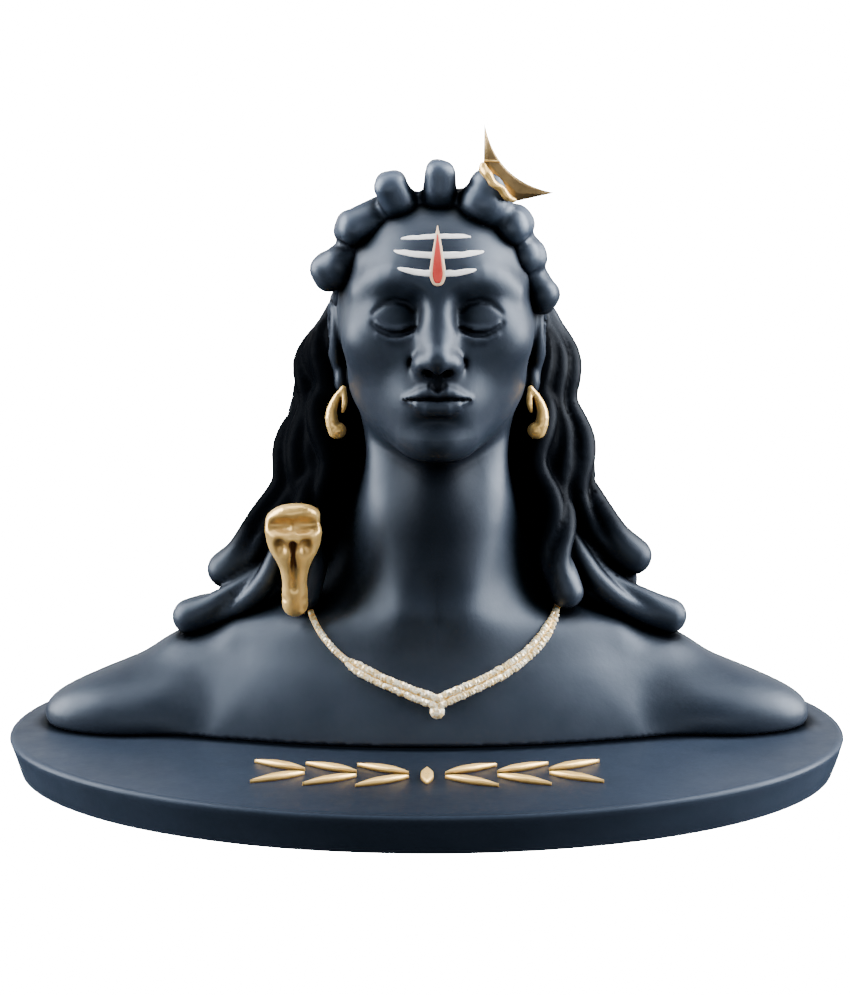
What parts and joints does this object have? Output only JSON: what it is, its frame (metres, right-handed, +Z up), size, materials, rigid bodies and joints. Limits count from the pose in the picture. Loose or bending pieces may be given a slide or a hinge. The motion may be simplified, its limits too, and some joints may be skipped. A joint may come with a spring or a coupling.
{
  "type": "shiva figure",
  "caption": "Bust of a calm long-haired deity in dark matte resin on an oval plate, with gilt crescent, cobra, earrings, necklace and leaf garland.",
  "frame": {"origin": "middle of the plate's underside", "axes": "+Z up, +X to the viewer's right along the plate's length, -Y towards the viewer, whom the figure faces"},
  "size_m": [0.15, 0.102, 0.1147],
  "materials": {
    "resin": "matte cast resin, dark slate",
    "gilt": "gilt paint, soft shine",
    "crescent_metal": "dull brass",
    "white_paint": "brushed white paint",
    "red_paint": "brushed red paint",
    "cream_paint": "brushed cream paint"
  },
  "bodies": {
    "root": {"oval_plate": "resin", "bust": "resin", "crescent": "crescent_metal", "cobra": "gilt", "earring_left": "gilt", "earring_right": "gilt", "necklace": "gilt", "stroke_upper_left_1": "gilt", "stroke_upper_left_2": "gilt", "stroke_upper_left_3": "gilt", "stroke_upper_right_1": "gilt", "stroke_upper_right_2": "gilt", "stroke_upper_right_3": "gilt", "stroke_lower_left_1": "gilt", "stroke_lower_left_2": "gilt", "stroke_lower_left_3": "gilt", "stroke_lower_right_1": "gilt", "stroke_lower_right_2": "gilt", "stroke_lower_right_3": "gilt", "stroke_middle": "gilt"}
  },
  "joints": []
}
